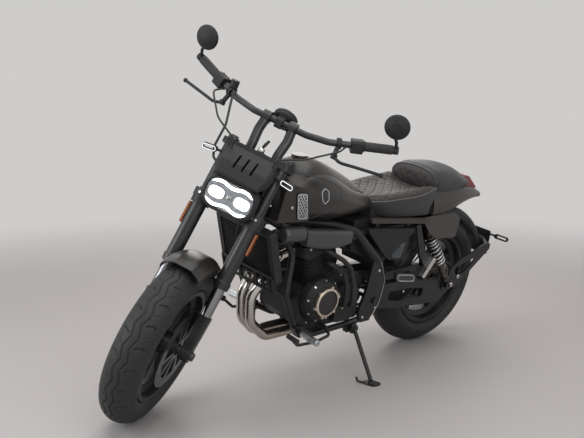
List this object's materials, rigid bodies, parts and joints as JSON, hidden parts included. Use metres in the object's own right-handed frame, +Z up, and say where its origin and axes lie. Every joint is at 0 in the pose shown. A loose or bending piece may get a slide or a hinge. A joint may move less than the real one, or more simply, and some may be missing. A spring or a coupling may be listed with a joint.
{
  "type": "cruiser motorcycle",
  "caption": "Cruiser motorcycle leaning on its side stand, bars turned left: cast spoked wheels, liquid-cooled engine, chain drive, low quilted seat. Steering, wheels and stand move.",
  "frame": {"origin": "bottom centre of the bounding box, on the floor", "axes": "-Y forward along the chassis, +X to the rider's left, +Z up; the chassis leans to the left as it parks"},
  "size_m": [0.8008, 2.1464, 1.4171],
  "materials": {
    "tyre_rubber": "matt",
    "black_casting": "satin black paint",
    "disc_steel": "brushed",
    "dark_steel": "dull",
    "slider_black": "satin",
    "stanchion_chrome": "polished",
    "black_plastic": "matt",
    "grip_rubber": "ribbed",
    "tank_paint": "matt black paint",
    "pod_metal": "satin",
    "seat_cover": "quilted",
    "trim_grey": "satin",
    "cover_aluminium": "satin",
    "exhaust_steel": "polished",
    "muffler_black": "matt heatproof",
    "lamp_glass": "clear",
    "lamp_red": "gloss",
    "reflector_orange": "gloss",
    "plate_white": "satin"
  },
  "bodies": {
    "frame": {"main_frame": "black_casting", "engine_cases": "black_casting", "cylinders": "black_casting", "engine_covers": "black_casting", "ring_cover": "cover_aluminium", "coolant_hose": "grip_rubber", "radiator": "black_plastic", "exhaust_headers": "exhaust_steel", "muffler": "muffler_black", "fuel_tank": "tank_paint", "tank_shrouds": "black_plastic", "tank_inserts": "cover_aluminium", "side_pods": "pod_metal", "rider_seat": "seat_cover", "pillion_seat": "seat_cover", "tail_cowl": "trim_grey", "tail_lamp": "lamp_red", "side_covers": "black_plastic", "side_trim": "trim_grey", "battery_box": "black_plastic", "inner_fender": "black_plastic", "swingarm": "black_casting", "rear_shocks": "dark_steel", "shock_springs": "slider_black", "chain": "dark_steel", "chain_guard": "black_plastic", "rear_caliper": "black_casting", "plate_bracket": "black_plastic", "number_plate": "plate_white", "rear_indicators": "black_plastic", "foot_controls": "black_casting", "passenger_pegs": "black_casting", "rear_axle": "dark_steel"},
    "steering": {"fork_sliders": "slider_black", "fork_stanchions": "stanchion_chrome", "fork_feet": "black_casting", "triple_clamps": "black_casting", "front_fender": "black_plastic", "handlebar": "slider_black", "grips": "grip_rubber", "bar_controls": "black_plastic", "mirrors": "black_plastic", "gauge": "black_plastic", "cables": "grip_rubber", "reflectors": "reflector_orange", "headlamp": "black_plastic", "headlamp_lens": "lamp_glass", "front_indicators": "black_plastic", "front_caliper": "black_casting", "front_axle": "dark_steel"},
    "front_wheel": {"front_tyre": "tyre_rubber", "front_rim": "black_casting", "front_disc": "disc_steel"},
    "rear_wheel": {"rear_tyre": "tyre_rubber", "rear_rim": "black_casting", "rear_disc": "disc_steel"},
    "side_stand": {"side_stand": "black_casting"}
  },
  "joints": [
    {"name": "steering", "type": "hinge", "parent": "frame", "child": "steering", "pos_m": [-0.04232, -0.50303, 0.72964], "axis": [0.1732, 0.4676, 0.8668], "range_deg": [-66, 0]},
    {"name": "front_wheel", "type": "hinge", "parent": "steering", "child": "front_wheel", "pos_m": [-0.0987, -0.78436, 0.29738], "axis": [0.7725, 0.4814, -0.4141], "continuous": true},
    {"name": "rear_wheel", "type": "hinge", "parent": "frame", "child": "rear_wheel", "pos_m": [-0.12452, 0.7029, 0.31825], "axis": [0.9806, 0, -0.1959], "continuous": true},
    {"name": "side_stand", "type": "hinge", "parent": "frame", "child": "side_stand", "pos_m": [0.0035, 0.10693, 0.19342], "axis": [0.7825, -0.0642, 0.6193], "range_deg": [0, 93]}
  ]
}
